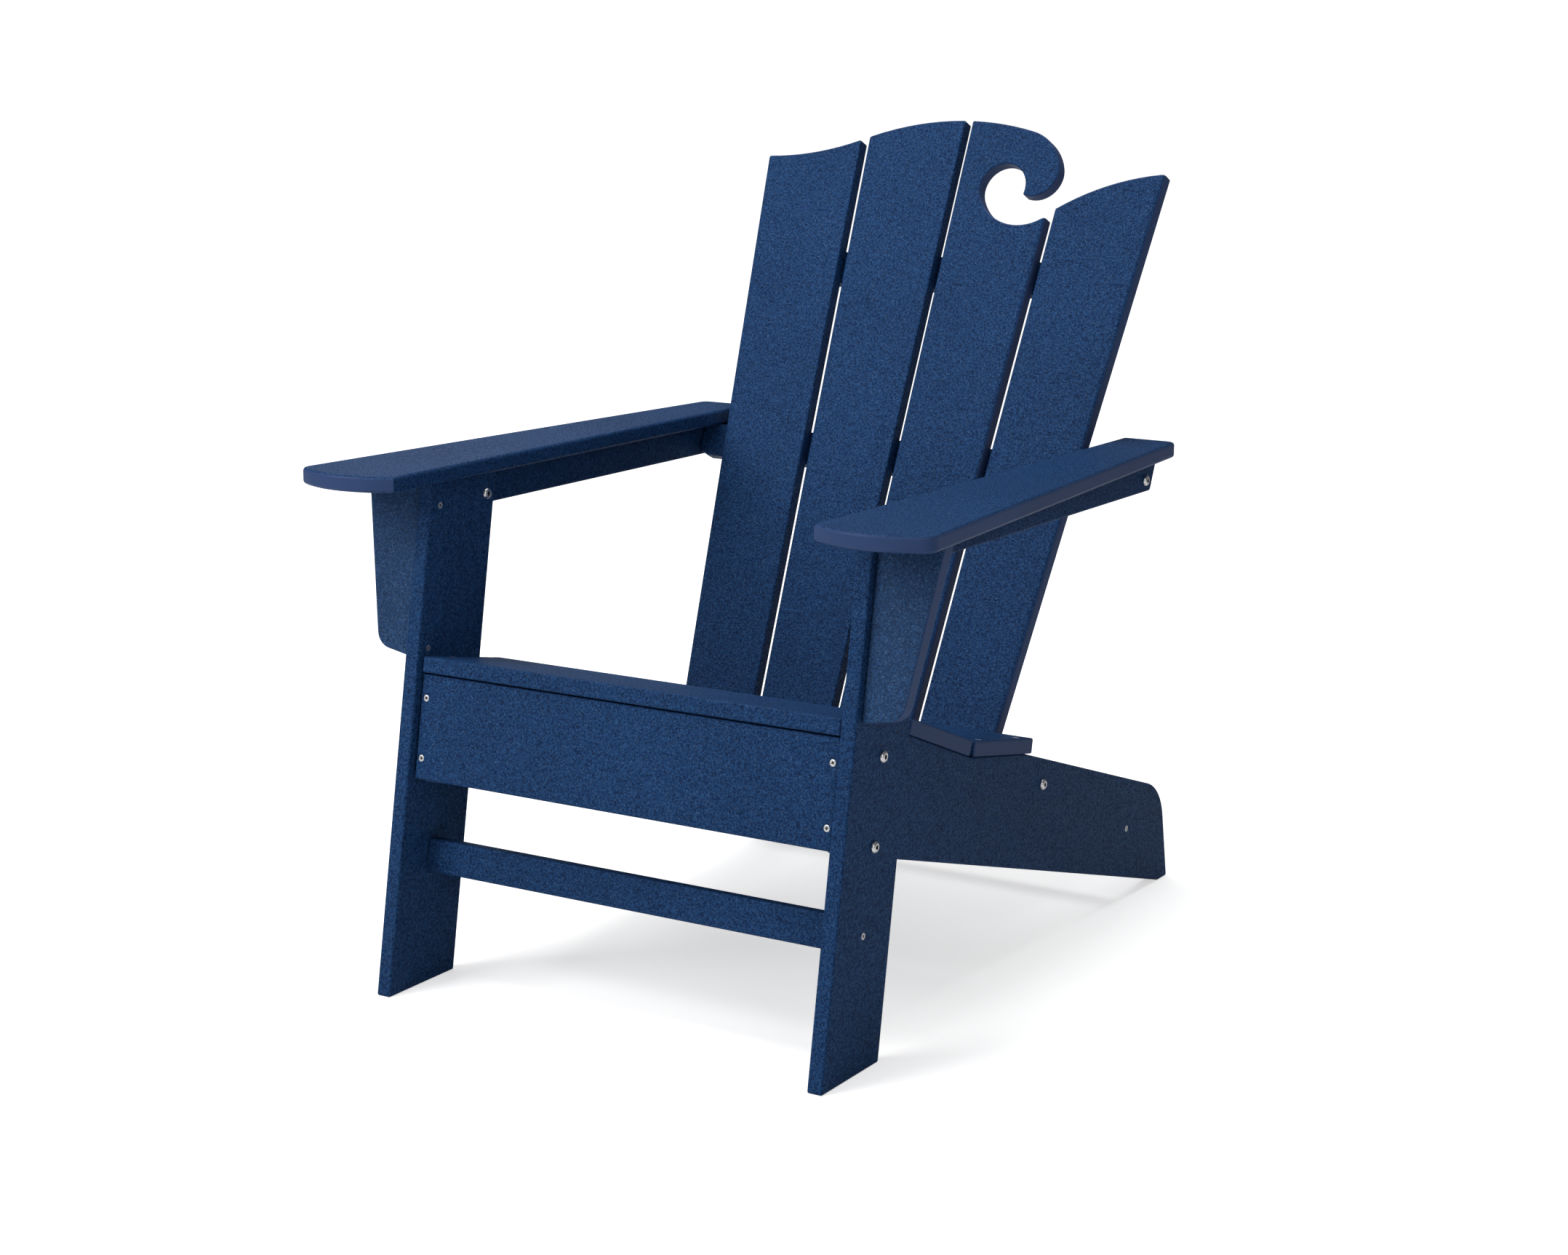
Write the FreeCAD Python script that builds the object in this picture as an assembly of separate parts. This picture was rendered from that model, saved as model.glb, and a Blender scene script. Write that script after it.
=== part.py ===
"""Fixed-back adirondack chair of plastic lumber, built board by board.

Frame: the sitter looks along -Y, +Z is up and +X is the sitter's left hand.  While the pieces
are worked out, y runs back from the toes of the front legs; put_in_frame() then moves every
piece so that the origin is the middle of the chair's footprint on the floor.
"""
import FreeCAD, Part
import os
from math import acos, atan2, cos, degrees, hypot, radians, sin, tan

V = FreeCAD.Vector

# ---- lumber ---------------------------------------------------------------------------------
BOARD = 19.0            # thickness of the frame, seat and arm boards
SLAT = 19.0             # thickness of the back slats
BAR = 38.0              # thickness of the bar behind the feet of the slats
SOFT = 2.4              # rounding of a board's edges
SLAT_SOFT = 2.2         # rounding of a slat's edges
SLAT_ROUND = 5.0        # rounding of a slat's sawn front edge
TIP_ROUND = 2.7         # rounding of the curl's tip, seen from the front
FIT = 0.3               # play between boards that only just touch

# ---- whole chair ----------------------------------------------------------------------------
DEPTH = 928.0           # leg toes to the heels of the side rails
LEG_OUT = 306.0         # middle of the chair to the outer faces of the legs
LEG_IN = LEG_OUT - BOARD
RAIL_IN = LEG_IN - BOARD

# ---- front legs -----------------------------------------------------------------------------
LEG_DEPTH = 122.3       # along the floor
LEG_LEAN = 10.05        # degrees from upright, leaning back
LEAN = tan(radians(LEG_LEAN))

# ---- seat: knees of the top surface, (y, z), front to back ----------------------------------
SEAT_KNEES = [(77.0, 398.0), (224.0, 368.0), (373.0, 308.0), (526.0, 277.8)]
SEAT_GAP = 5.0          # between seat boards
SEAT_END_PLAY = 3.0     # front board to each leg

# ---- side rails -----------------------------------------------------------------------------
RAIL_FRONT = 28.5       # rail's front edge, behind the front edge of the leg
RAIL_BELLY = (196.4, 210.9)      # a point on the bottom edge
RAIL_HEEL = 900.8       # where the bottom edge meets the floor
RAIL_BACK = (850.0, 146.6)       # a point on the top edge behind the seat
RAIL_BACK_SLOPE = -0.337
RAIL_END_SLOPE = -1 / 0.1875     # the nearly upright rear end
RAIL_SHOULDER_R = 70.0

# ---- apron and stretchers -------------------------------------------------------------------
APRON_SET = 8.7         # apron's face behind the front edges of the legs
APRON_LOW = 259.4       # measured up the leaning face
APRON_HIGH = 383.0
STRETCHER_SET = 50.6
STRETCHER_LOW = 138.6
STRETCHER_HIGH = 178.6
REAR_STRETCHER = (797.4, 96.9)   # middle of its end
REAR_STRETCHER_TALL = 64.0

# ---- back -----------------------------------------------------------------------------------
BACK_LEAN = 25.09       # degrees from upright
BACK_FOOT = 412.3       # where the plane of the slats' faces meets the floor
SLAT_GAP = 10.7
SLAT_BOTTOM = 215.0     # up the leaning face
OUTER_EDGE = (201.1, 0.0888)     # outer edges: half width at the floor, growth per mm up
SIDE_GAP = (103.3, 0.0435)       # middle of the two outer gaps, the same way
LOW_BAR = (220.0, 278.0)         # reaches up the back
MIDDLE_BRACE = (619.0, 663.0)
MIDDLE_BRACE_HALF = 304.0
MIDDLE_BRACE_CHAMFER = (13.0, 7.0)
UPPER_BRACE = (869.5, 913.5)
UPPER_BRACE_HALF = 255.0

# the wave along the top of the back: circles (x, up the back, radius)
TROUGH = (-298.0, 1432.5, 395.0)
CREST = (-1.0, 696.0, 399.0)
CREST_TURN = 14.2       # degrees past the top where the crest hands over to the shoulder
SHOULDER_R = 65.9
SHOULDER_TURN = 72.2
LIP_R = 34.0
CURL = (69.5, 1005.2, 32.2)
CURL_TURN = 242.6       # degrees round the curl where it hands over to the bowl
BOWL_R = 65.4
CURL_FREE = 982.0       # above this the curl may reach past the slat's sawn side
SWELL = (327.6, 716.1, 316.6)

# ---- arms -----------------------------------------------------------------------------------
ARM_UNDER = 598.0       # height of the arms' underside over the toes
ARM_FALL = 0.0084       # drop per mm towards the back
ARM_INNER = 278.5
ARM_REAR = 778.0
ARM_TAPER = (422.8, 0.0929)      # outer edge: half width at the toes, less this per mm back
ARM_NOSE = (347.0, 118.6, 114.6)    # circle of the front edge: x, y, radius
ARM_CORNERS = (4.0, 20.0, 13.0, 4.0)    # inner front, outer front, outer rear, inner rear
ARM_SOFT = 4.0
ARM_RAIL_TALL = 42.0
ARM_RAIL_REAR = (759.0, 0.452)   # rear end: y at the rail's bottom, growth per mm up
ARM_RAIL_HEEL_R = 5.0   # rounding of the rail's lower rear corner
BRACKET_SET = 9.0
BRACKET = [(306.3, 402.2), (355.2, 411.0, 22.0), (396.0, 650.0), (306.3, 650.0)]
CLEAT_REAR = 748.0      # rear face, at its lower edge
CLEAT_RISE = (6.0, 7.0)         # its lower and upper edges above those of the middle brace

# ---- fasteners ------------------------------------------------------------------------------
BOLT_D = 8.0
BOLT_HEAD_D = 14.0
BOLT_HEAD_TALL = 4.4
HEX_KEY = 5.0
HEX_DEEP = 2.6
NUT_ACROSS = 13.0
NUT_TALL = 6.5
WASHER_D = 16.0
WASHER_THICK = 1.6
SCREW_D = 4.2
SCREW_HEAD_D = 7.8
SCREW_HEAD_TALL = 2.6
CROSS = (4.2, 1.1, 1.5)          # recess in a screw's head: length, width, depth
CLEAR = 0.15            # clearance round a fastener
THREAD_SHOWING = 1.0    # bolt end beyond its nut
BOLT_CHAMFER = 1.0
BOLT_RIM = 0.8          # straight rim below a bolt's domed head
BOLT_DOME = 0.9         # how far the dome stands off its chord
SCREW_POINT = 4.0
SCREW_RIM = 0.4
LEG_BOLTS = [(126.5, 348.2), (108.9, 250.8)]    # (y, z) on the leg's outer face
BACK_BAR_BOLT = (551.0, 214.4)
BACK_BAR_BOLT_LONG = 60.0
ARM_RAIL_FRONT_BOLT = (206.9, 571.3)
ARM_RAIL_FRONT_BOLT_LONG = 34.0
ARM_RAIL_REAR_BOLT = (742.6, 564.8)
ARM_RAIL_REAR_BOLT_LONG = 45.0
STRETCHER_SCREW = (87.6, 155.3)
LONG_SCREW = 45.0       # through a 19 mm board into the end of another
BOARD_SCREW = 38.0      # through two boards, face to face
APRON_SCREW = 32.0
APRON_SCREW_X = 276.5
APRON_SCREW_UPS = (285.7, 356.5)        # up the leaning face
BRACKET_SCREW_UPS = (414.0, 582.0)      # up the lean of the leg
SEAT_SCREW_SHARES = [(0.32, 0.81), (0.18, 0.81), (0.18, 0.81)]  # along each board's slope
SLAT_SCREW_BITE = 13.0  # how far a screw enters a slat
SLAT_SCREW_INSET = 26.0
SLAT_SCREW_OUTER_INSET = 42.0   # clear of the outer slat's rounded edge
ARM_SCREW_YS = (260.0, 450.0, 640.0)
ARM_SCREW_BITE = 12.0
CLEAT_SCREW = 45.0
CLEAT_SCREW_IN = 7.0    # inside the inner face of the leg
CLEAT_SCREW_UP = 5.0    # above the cleat's lower edge


# ---- outlines and boards --------------------------------------------------------------------
def polygon_face(corners, lift):
    """A flat face from corners (a, b) or (a, b, radius); lift turns (a, b) into a 3-D point."""
    edges = []
    starts = []
    count = len(corners)
    for index, corner in enumerate(corners):
        before = corners[index - 1]
        after = corners[(index + 1) % count]
        radius = corner[2] if len(corner) > 2 else 0.0
        into = unit(before, corner)
        out = unit(corner, after)
        if radius == 0.0:
            starts.append((lift(corner), lift(corner), None))
            continue
        turn = acos(into[0] * out[0] + into[1] * out[1])
        reach = radius * tan(turn / 2)
        first = (corner[0] - into[0] * reach, corner[1] - into[1] * reach)
        last = (corner[0] + out[0] * reach, corner[1] + out[1] * reach)
        bisector = unit(corner, ((first[0] + last[0]) / 2, (first[1] + last[1]) / 2))
        inward = radius / cos(turn / 2) - radius
        middle = (corner[0] + bisector[0] * inward, corner[1] + bisector[1] * inward)
        starts.append((lift(first), lift(last), lift(middle)))
    for index, (first, last, middle) in enumerate(starts):
        if middle is not None:
            edges.append(Part.Arc(first, middle, last).toShape())
        following = starts[(index + 1) % count][0]
        edges.append(Part.LineSegment(last, following).toShape())
    return Part.Face(Part.Wire(edges))


def unit(start, end):
    """Direction from one (a, b) point to another."""
    length = hypot(end[0] - start[0], end[1] - start[1])
    return (end[0] - start[0]) / length, (end[1] - start[1]) / length


def softened(solid, radius):
    """Round every edge of a board, as the extruded lumber and the router leave it."""
    return solid.makeFillet(radius, solid.Edges)


def side_board(corners, x_from, x_to):
    """A board that stands in a plane of constant x, from corners (y, z[, radius])."""
    face = polygon_face(corners, lambda p: V(x_from, p[0], p[1]))
    return softened(face.extrude(V(x_to - x_from, 0, 0)), SOFT)


def leaning(shape, foot, lean):
    """Tip a shape drawn in (x, up, out of the face) about a floor line, lean degrees back."""
    shape.rotate(V(0, 0, 0), V(1, 0, 0), 90 - lean)
    shape.translate(V(0, foot, 0))
    return shape


def leaning_board(corners, thickness, foot, lean, radius, behind=0.0):
    """A board in a leaning plane, from corners (x, up[, radius]), its face behind the plane."""
    face = polygon_face(corners, lambda p: V(p[0], p[1], -behind))
    solid = softened(face.extrude(V(0, 0, -thickness)), radius)
    return leaning(solid, foot, lean)


def rectangle(x_half, low, high):
    """Corners of an upright rectangle about the middle of the chair."""
    return [(-x_half, low), (x_half, low), (x_half, high), (-x_half, high)]


def mirrored(shape):
    """The same piece for the sitter's right hand."""
    return shape.mirror(V(0, 0, 0), V(1, 0, 0))


def crossing(point_a, slope_a, point_b, slope_b):
    """Where two lines z = z0 + slope (y - y0) meet."""
    along = (point_b[1] - point_a[1] + slope_a * point_a[0] - slope_b * point_b[0])
    y = along / (slope_a - slope_b)
    return y, point_a[1] + slope_a * (y - point_a[0])


def back_point(x, up, behind):
    """A point given on the leaning back, behind the plane of the slats' faces."""
    tilt = radians(BACK_LEAN)
    return V(x, BACK_FOOT + up * sin(tilt) + behind * cos(tilt), up * cos(tilt) - behind * sin(tilt))


def leg_point(x, up, behind):
    """A point given on the lean of the legs: up the lean, and behind the legs' front edges."""
    tilt = radians(LEG_LEAN)
    return V(x, up * sin(tilt) + behind * cos(tilt), up * cos(tilt) - behind * sin(tilt))


# ---- frame ----------------------------------------------------------------------------------
def arm_under(y):
    """Height of the arms' underside at a place along the chair."""
    return ARM_UNDER - ARM_FALL * y


def leg_top(y_floor):
    """Where a leaning edge that starts at y_floor meets the underside of the arm."""
    z = arm_under(y_floor) / (1 + ARM_FALL * LEAN)
    return y_floor + LEAN * z, z


def leg():
    """Front leg: a parallelogram with its foot cut level."""
    corners = [(0.0, 0.0), (LEG_DEPTH, 0.0), leg_top(LEG_DEPTH), leg_top(0.0)]
    return side_board(corners, LEG_IN, LEG_OUT)


def seat_slopes():
    """Slope of each seat board."""
    pairs = zip(SEAT_KNEES, SEAT_KNEES[1:])
    return [(b[1] - a[1]) / (b[0] - a[0]) for a, b in pairs]


def seat_underside(index):
    """A point on the underside of one seat board, and its slope."""
    slope = seat_slopes()[index]
    y, z = SEAT_KNEES[index]
    return (y, z - (BOARD + FIT) * hypot(1, slope)), slope


def side_rail():
    """Side rail: runs from behind the apron to the floor, its top cut to the seat."""
    belly_slope = -RAIL_BELLY[1] / (RAIL_HEEL - RAIL_BELLY[0])
    front = (RAIL_FRONT, 0.0)
    low = crossing(front, 1 / LEAN, RAIL_BELLY, belly_slope)
    under = [seat_underside(index) for index in range(3)]
    high = crossing(front, 1 / LEAN, *under[0])
    knees = [crossing(*under[index], *under[index + 1]) for index in range(2)]
    last = crossing(*under[2], RAIL_BACK, RAIL_BACK_SLOPE)
    shoulder = crossing(RAIL_BACK, RAIL_BACK_SLOPE, (DEPTH, 0.0), RAIL_END_SLOPE)
    rear = [(*shoulder, RAIL_SHOULDER_R), (DEPTH, 0.0), (RAIL_HEEL, 0.0)]
    return side_board([low, high, *knees, last, *rear], RAIL_IN, LEG_IN)


def seat_board(index):
    """One wide seat board, lying on the rails between two knees of the seat."""
    start, end = SEAT_KNEES[index], SEAT_KNEES[index + 1]
    along = unit(start, end)
    length = hypot(end[0] - start[0], end[1] - start[1])
    first = 0.0 if index == 0 else SEAT_GAP / 2
    last = length if index == 2 else length - SEAT_GAP / 2
    half = LEG_IN - SEAT_END_PLAY if index == 0 else LEG_IN
    solid = Part.makeBox(2 * half, last - first, BOARD, V(-half, first, -BOARD))
    solid = softened(solid, SOFT)
    solid.rotate(V(0, 0, 0), V(1, 0, 0), degrees(atan2(along[1], along[0])))
    solid.translate(V(0, start[0], start[1]))
    return solid


def apron():
    """Wide board across the front, between the legs, in front of the rails."""
    corners = rectangle(LEG_IN - SEAT_END_PLAY, APRON_LOW, APRON_HIGH)
    return leaning_board(corners, BOARD, APRON_SET, LEG_LEAN, SOFT)


def front_stretcher():
    """Narrow board low down between the legs."""
    corners = rectangle(LEG_IN - FIT, STRETCHER_LOW, STRETCHER_HIGH)
    return leaning_board(corners, BOARD, STRETCHER_SET, LEG_LEAN, SOFT)


def rear_stretcher():
    """Upright board between the rails near the floor."""
    half = RAIL_IN - FIT
    y, z = REAR_STRETCHER
    corner = V(-half, y - BOARD / 2, z - REAR_STRETCHER_TALL / 2)
    return softened(Part.makeBox(2 * half, BOARD, REAR_STRETCHER_TALL, corner), SOFT)


# ---- back -----------------------------------------------------------------------------------
def on_circle(centre, radius, turn):
    """A point on a circle, turn degrees clockwise from its top."""
    angle = radians(turn)
    return centre[0] + radius * sin(angle), centre[1] + radius * cos(angle)


def turn_at(circle, x, above):
    """How far round a circle, clockwise from its top, it stands at x."""
    rise = degrees(acos((x - circle[0]) / circle[2]))
    return 90 - rise if above else 90 + rise


def arc_edge(circle, turn_from, turn_to):
    """Part of a circle in the plane of the back, between two turns."""
    turns = (turn_from, (turn_from + turn_to) / 2, turn_to)
    points = [on_circle(circle, circle[2], turn) for turn in turns]
    return Part.Arc(*[V(x, up, 0) for x, up in points]).toShape()


def inner_circle(outer, radius, turn):
    """A circle that touches another from inside at a turn."""
    x, up = on_circle(outer, outer[2] - radius, turn)
    return x, up, radius


def tip_of_curl(lip, curl):
    """The lower crossing of the lip's circle and the curl's circle."""
    gap_x, gap_up = lip[0] - curl[0], lip[1] - curl[1]
    gap = hypot(gap_x, gap_up)
    along = (curl[2] ** 2 - lip[2] ** 2 + gap ** 2) / (2 * gap)
    aside = (curl[2] ** 2 - along ** 2) ** 0.5
    return (curl[0] + (along * gap_x + aside * gap_up) / gap,
            curl[1] + (along * gap_up - aside * gap_x) / gap)


def turn_of(circle, point):
    """Turn, clockwise from the top and under 360, at which a circle passes a point."""
    return degrees(atan2(point[0] - circle[0], point[1] - circle[1])) % 360


def slat_sides(index):
    """The straight sides of a slat, left and right: (x at the floor, growth per mm up)."""
    half_gap = SLAT_GAP / 2
    if index in (1, 2):
        near, far = (half_gap, 0.0), (SIDE_GAP[0] - half_gap, SIDE_GAP[1])
    else:
        near, far = (SIDE_GAP[0] + half_gap, SIDE_GAP[1]), OUTER_EDGE
    if index < 2:
        return (-far[0], -far[1]), (-near[0], -near[1])
    return near, far


def side_at(side, up):
    """Where a slat's side stands, up the back."""
    return side[0] + side[1] * up


def wave(index, left, right):
    """The arcs along the top of one slat, from left to right."""
    if index == 0:
        return [arc_edge(TROUGH, turn_at(TROUGH, left, False), turn_at(TROUGH, right, False))]
    if index == 1:
        return [arc_edge(CREST, turn_at(CREST, left, True), turn_at(CREST, right, True))]
    if index == 3:
        return [arc_edge(SWELL, turn_at(SWELL, left, True), turn_at(SWELL, right, True))]
    shoulder = inner_circle(CREST, SHOULDER_R, CREST_TURN)
    lip = inner_circle(shoulder, LIP_R, SHOULDER_TURN)
    bowl = inner_circle(CURL, BOWL_R, CURL_TURN)
    tip = tip_of_curl(lip, CURL)
    return [
        arc_edge(CREST, turn_at(CREST, left, True), CREST_TURN),
        arc_edge(shoulder, CREST_TURN, SHOULDER_TURN),
        arc_edge(lip, SHOULDER_TURN, turn_of(lip, tip)),
        arc_edge(CURL, turn_of(CURL, tip), CURL_TURN - 360),
        arc_edge(bowl, CURL_TURN, turn_at(bowl, right, False)),
    ]


def back_slat(index):
    """One tapered slat: a board with the wave along its top, sawn to its two sides."""
    sides = slat_sides(index)
    top = CREST[1] + CREST[2] + SLAT
    places = [side_at(side, up) for side in sides for up in (SLAT_BOTTOM, top)]
    left, right = min(places) - 1, max(places) + 1
    arcs = wave(index, left, right)
    points = [arcs[-1].Curve.value(arcs[-1].LastParameter), V(right, SLAT_BOTTOM, 0),
              V(left, SLAT_BOTTOM, 0), arcs[0].Curve.value(arcs[0].FirstParameter)]
    lines = [Part.LineSegment(a, b).toShape() for a, b in zip(points, points[1:])]
    board = Part.Face(Part.Wire(arcs + lines)).extrude(V(0, 0, -SLAT))
    low = SLAT_BOTTOM - 1
    corners = [(side_at(sides[0], low), low), (side_at(sides[1], low), low)]
    if index == 2:
        corners += [(side_at(sides[1], CURL_FREE), CURL_FREE), (right + SLAT, CURL_FREE),
                    (right + SLAT, top)]
    else:
        corners += [(side_at(sides[1], top), top)]
    corners += [(side_at(sides[0], top), top)]
    strip = polygon_face(corners, lambda p: V(p[0], p[1], 0)).extrude(V(0, 0, -SLAT))
    solid = board.common(strip).Solids[0]
    outer = sides[0] if index < 2 else sides[1]
    sawn = [edge for edge in solid.Edges if lies_along(edge, outer)]
    solid = solid.makeFillet(SLAT_ROUND, sawn)
    if index == 2:
        tip = tip_of_curl(inner_circle(inner_circle(CREST, SHOULDER_R, CREST_TURN),
                                       LIP_R, SHOULDER_TURN), CURL)
        solid = solid.makeFillet(TIP_ROUND, upright_edges(solid, [tip]))
    return leaning(softened(solid, SLAT_SOFT), BACK_FOOT, BACK_LEAN)


def lies_along(edge, side):
    """Whether an edge of a slat's front face runs along one of its straight sides."""
    ends = [vertex.Point for vertex in edge.Vertexes]
    return all(abs(end.z) < 0.01 and abs(end.x - side_at(side, end.y)) < 0.01 for end in ends)


def upright_edges(solid, places):
    """The edges of a board that pass straight through its thickness at the given (x, y)."""
    found = []
    for edge in solid.Edges:
        ends = [vertex.Point for vertex in edge.Vertexes]
        if len(ends) != 2 or hypot(ends[0].x - ends[1].x, ends[0].y - ends[1].y) > 1e-6:
            continue
        if any(hypot(ends[0].x - x, ends[0].y - y) < 0.01 for x, y in places):
            found.append(edge)
    return found


def brace(span, half, thickness, chamfer):
    """A board across the backs of the slats, its lower corners taken off."""
    low, high = span
    corners = rectangle(half, low, high)
    if chamfer:
        along, up = chamfer
        corners = [(-half + along, low), (half - along, low), (half, low + up), (half, high),
                   (-half, high), (-half, low + up)]
    return leaning_board(corners, thickness, BACK_FOOT, BACK_LEAN, SOFT, behind=SLAT)


# ---- arms -----------------------------------------------------------------------------------
def arm():
    """Broad arm: bowed front, outer edge drawing in towards the back."""
    x0, y0, radius = ARM_NOSE
    inner = y0 - (radius ** 2 - (ARM_INNER - x0) ** 2) ** 0.5
    base, draw = ARM_TAPER
    # where the bowed front meets the outer edge
    a = 1 + draw ** 2
    b = draw * (x0 - base) - y0
    c = (base - x0) ** 2 + y0 ** 2 - radius ** 2
    outer = (-b - (b ** 2 - a * c) ** 0.5) / a
    places = [(ARM_INNER, inner), (base - draw * outer, outer),
              (base - draw * ARM_REAR, ARM_REAR), (ARM_INNER, ARM_REAR)]
    points = [V(x, y, 0) for x, y in places]
    bow = Part.Arc(points[0], V(x0, y0 - radius, 0), points[1]).toShape()
    pairs = zip(points[1:], points[2:] + points[:1])
    sides = [Part.LineSegment(a, b).toShape() for a, b in pairs]
    solid = Part.Face(Part.Wire([bow] + sides)).extrude(V(0, 0, BOARD))
    for place, corner in zip(places, ARM_CORNERS):
        solid = solid.makeFillet(corner, upright_edges(solid, [place]))
    loops = [edge for edge in solid.Edges
             if abs(edge.BoundBox.ZLength) < 0.01]
    solid = solid.makeFillet(ARM_SOFT, loops)
    solid.rotate(V(0, 0, 0), V(1, 0, 0), -degrees(atan2(ARM_FALL, 1)))
    solid.translate(V(0, 0, ARM_UNDER))
    return solid


def arm_rail():
    """Rail under the outer half of the arm, outside the leg, behind the bracket."""
    under = (0.0, ARM_UNDER)
    low = (0.0, ARM_UNDER - ARM_RAIL_TALL)
    front = ((BRACKET_SET + BOARD + FIT) / cos(radians(LEG_LEAN)), 0.0)
    rear = (ARM_RAIL_REAR[0], arm_under(ARM_RAIL_REAR[0]) - ARM_RAIL_TALL)
    steep = 1 / ARM_RAIL_REAR[1]
    corners = [crossing(front, 1 / LEAN, low, -ARM_FALL),
               (*crossing(rear, steep, low, -ARM_FALL), ARM_RAIL_HEEL_R),
               crossing(rear, steep, under, -ARM_FALL),
               crossing(front, 1 / LEAN, under, -ARM_FALL)]
    return side_board(corners, LEG_OUT + FIT, LEG_OUT + BOARD)


def arm_bracket():
    """Bracket outside the leg that carries the wide front of the arm."""
    face = polygon_face(BRACKET, lambda p: V(p[0], p[1], -BRACKET_SET))
    solid = leaning(face.extrude(V(0, 0, -BOARD)), 0.0, LEG_LEAN)
    front, rear = -LEG_DEPTH, 2 * LEG_DEPTH
    below = polygon_face([(front, 0.0), (rear, 0.0), (rear, arm_under(rear)),
                          (front, arm_under(front))], lambda p: V(RAIL_IN, p[0], p[1]))
    return softened(solid.common(below.extrude(V(LEG_OUT, 0, 0))).Solids[0], SOFT)


def cleat_corner(end):
    """Where the cleat meets the middle brace: 0 for its lower edge, 1 for its upper."""
    return back_point(0, MIDDLE_BRACE[end] + CLEAT_RISE[end], SLAT + BOARD + FIT)


def back_cleat():
    """Block in the corner between the middle brace and the arm rail."""
    low = cleat_corner(0)
    high = cleat_corner(1)
    slope = tan(radians(BACK_LEAN))
    reach = CLEAT_REAR - low.y
    corners = [(low.y, low.z), (CLEAT_REAR, low.z),
               (low.y + reach + slope * (high.z - low.z), high.z), (high.y, high.z)]
    return side_board(corners, RAIL_IN, LEG_OUT)


# ---- fasteners ------------------------------------------------------------------------------
def turned(profile):
    """A solid turned about the z axis from (radius, z) points; a third number rounds it."""
    points = [V(p[0], 0, p[1]) for p in profile]
    edges = []
    for index, point in enumerate(points):
        following = points[(index + 1) % len(points)]
        bulge = profile[index][2] if len(profile[index]) > 2 else 0.0
        if bulge:
            across = following - point
            middle = (point + following) * 0.5
            outward = V(across.z, 0, -across.x).normalize() * bulge
            edges.append(Part.Arc(point, middle + outward, following).toShape())
        else:
            edges.append(Part.LineSegment(point, following).toShape())
    return Part.Face(Part.Wire(edges)).revolve(V(0, 0, 0), V(0, 0, 1), 360)


def hexagon(across, low, high):
    """A hexagonal prism about the z axis."""
    radius = across / 2 / cos(radians(30))
    corners = [(radius * cos(radians(60 * k)), radius * sin(radians(60 * k))) for k in range(6)]
    return polygon_face(corners, lambda p: V(p[0], p[1], low)).extrude(V(0, 0, high - low))


def bolt(length):
    """Button-head bolt, its seat at z = 0, and the tool that bores its hole."""
    head, shank, tall = BOLT_HEAD_D / 2, BOLT_D / 2, BOLT_HEAD_TALL
    profile = [(0, -length), (shank - BOLT_CHAMFER, -length), (shank, -length + BOLT_CHAMFER),
               (shank, 0), (head, 0), (head, BOLT_RIM, BOLT_DOME), (HEX_KEY * 0.7, tall),
               (0, tall)]
    solid = turned(profile).cut(hexagon(HEX_KEY, tall - HEX_DEEP, tall + 1))
    bore = Part.makeCylinder(shank + CLEAR, length + 1, V(0, 0, -length - CLEAR))
    return solid, bore


def screw(length):
    """Countersunk cross-head screw, flush at z = 0, and the tool that bores its hole."""
    head, shank, tall = SCREW_HEAD_D / 2, SCREW_D / 2, SCREW_HEAD_TALL
    point = SCREW_POINT - length
    profile = [(0, -length), (shank, point), (shank, -tall), (head, -SCREW_RIM), (head, 0), (0, 0)]
    long, wide, deep = CROSS
    slot = Part.makeBox(long, wide, deep + 1, V(-long / 2, -wide / 2, -deep))
    cross = slot.fuse(Part.makeBox(wide, long, deep + 1, V(-wide / 2, -long / 2, -deep)))
    wider = [(0, -length - CLEAR), (shank + CLEAR, point), (shank + CLEAR, -tall - CLEAR),
             (head + CLEAR, -SCREW_RIM), (head + CLEAR, 1), (0, 1)]
    return turned(profile).cut(cross), turned(wider)


def nut():
    """Hexagon nut from z = 0 down, below its washer."""
    hole = Part.makeCylinder(BOLT_D / 2 + CLEAR, NUT_TALL + 2, V(0, 0, -NUT_TALL - 1))
    return hexagon(NUT_ACROSS, -NUT_TALL, 0).cut(hole)


def washer():
    """Flat washer from z = 0 down."""
    hole = Part.makeCylinder(BOLT_D / 2 + CLEAR, WASHER_THICK + 2, V(0, 0, -WASHER_THICK - 1))
    return Part.makeCylinder(WASHER_D / 2, WASHER_THICK, V(0, 0, -WASHER_THICK)).cut(hole)


def placed(shape, point, outward):
    """Carry a fastener's z axis to a direction and its seat to a point."""
    copy = shape.copy()
    copy.Placement = FreeCAD.Placement(point, FreeCAD.Rotation(V(0, 0, 1), outward))
    return copy


def flip(vector):
    """The same point or direction on the sitter's right hand."""
    return V(-vector.x, vector.y, vector.z)


# ---- the chair ------------------------------------------------------------------------------
pieces = {}


def pair(name, shape):
    """Add a piece for the sitter's left hand and its mirror image for the right."""
    pieces[name + "_left"] = shape
    pieces[name + "_right"] = mirrored(shape)


def fasten(name, fastener, seats, outward, through):
    """Set one kind of fastener at the seats on both hands and bore the boards it passes."""
    solid, bore = fastener
    group = pieces.setdefault(name, [])
    for seat in seats:
        for point, way in ((seat, outward), (flip(seat), flip(outward))):
            group.append(placed(solid, point, way))
            tool = placed(bore, point, way)
            for board in through:
                if pieces[board].BoundBox.intersect(tool.BoundBox):
                    pieces[board] = pieces[board].cut(tool)


def both(name):
    """The two names of a paired piece."""
    return [name + "_left", name + "_right"]


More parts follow.
